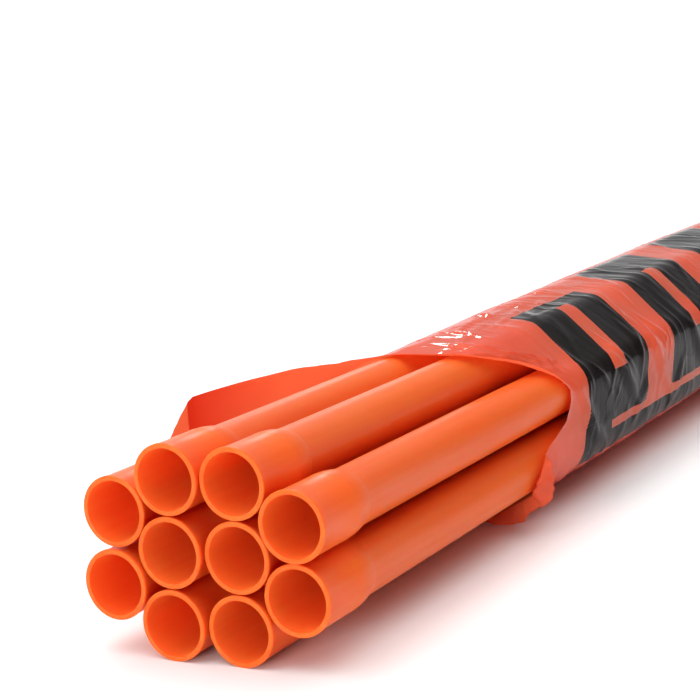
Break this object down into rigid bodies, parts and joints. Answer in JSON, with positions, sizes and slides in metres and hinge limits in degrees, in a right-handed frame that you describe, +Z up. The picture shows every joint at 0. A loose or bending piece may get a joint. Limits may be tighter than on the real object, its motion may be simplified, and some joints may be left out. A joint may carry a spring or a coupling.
{
  "type": "bundle of rigid electrical conduits",
  "caption": "Trade pack of straight rigid plastic electrical conduits with belled sockets, lying in a printed film sleeve that is torn open at the socket end.",
  "frame": {"origin": "on the ground under the middle of the bundle, halfway along the conduits", "axes": "+X along the conduits from the belled mouths into the sleeve, +Y to the left looking along +X, +Z up"},
  "size_m": [4.0279, 0.131, 0.0882],
  "materials": {
    "conduit_pvc": "smooth extruded rigid PVC, satin to semi-gloss, orange through and through",
    "sleeve_film": "thin glossy polyethylene film, translucent orange-red with black printed shapes, creased"
  },
  "bodies": {
    "film_sleeve": {"film_sleeve": "sleeve_film"},
    "conduit_01": {"conduit_01": "conduit_pvc"},
    "conduit_02": {"conduit_02": "conduit_pvc"},
    "conduit_03": {"conduit_03": "conduit_pvc"},
    "conduit_04": {"conduit_04": "conduit_pvc"},
    "conduit_05": {"conduit_05": "conduit_pvc"},
    "conduit_06": {"conduit_06": "conduit_pvc"},
    "conduit_07": {"conduit_07": "conduit_pvc"},
    "conduit_08": {"conduit_08": "conduit_pvc"},
    "conduit_09": {"conduit_09": "conduit_pvc"},
    "conduit_10": {"conduit_10": "conduit_pvc"}
  },
  "joints": [
    {"name": "conduit_01_slide", "type": "slide", "parent": "film_sleeve", "child": "conduit_01", "axis": [-1, 0, 0], "range_m": [0, 4.05]},
    {"name": "conduit_02_slide", "type": "slide", "parent": "film_sleeve", "child": "conduit_02", "axis": [-1, 0, 0], "range_m": [0, 4.05]},
    {"name": "conduit_03_slide", "type": "slide", "parent": "film_sleeve", "child": "conduit_03", "axis": [-1, 0, 0], "range_m": [0, 4.05]},
    {"name": "conduit_04_slide", "type": "slide", "parent": "film_sleeve", "child": "conduit_04", "axis": [-1, 0, 0], "range_m": [0, 4.05]},
    {"name": "conduit_05_slide", "type": "slide", "parent": "film_sleeve", "child": "conduit_05", "axis": [-1, 0, 0], "range_m": [0, 4.05]},
    {"name": "conduit_06_slide", "type": "slide", "parent": "film_sleeve", "child": "conduit_06", "axis": [-1, 0, 0], "range_m": [0, 4.05]},
    {"name": "conduit_07_slide", "type": "slide", "parent": "film_sleeve", "child": "conduit_07", "axis": [-1, 0, 0], "range_m": [0, 4.05]},
    {"name": "conduit_08_slide", "type": "slide", "parent": "film_sleeve", "child": "conduit_08", "axis": [-1, 0, 0], "range_m": [0, 4.05]},
    {"name": "conduit_09_slide", "type": "slide", "parent": "film_sleeve", "child": "conduit_09", "axis": [-1, 0, 0], "range_m": [0, 4.05]},
    {"name": "conduit_10_slide", "type": "slide", "parent": "film_sleeve", "child": "conduit_10", "axis": [-1, 0, 0], "range_m": [0, 4.05]}
  ]
}
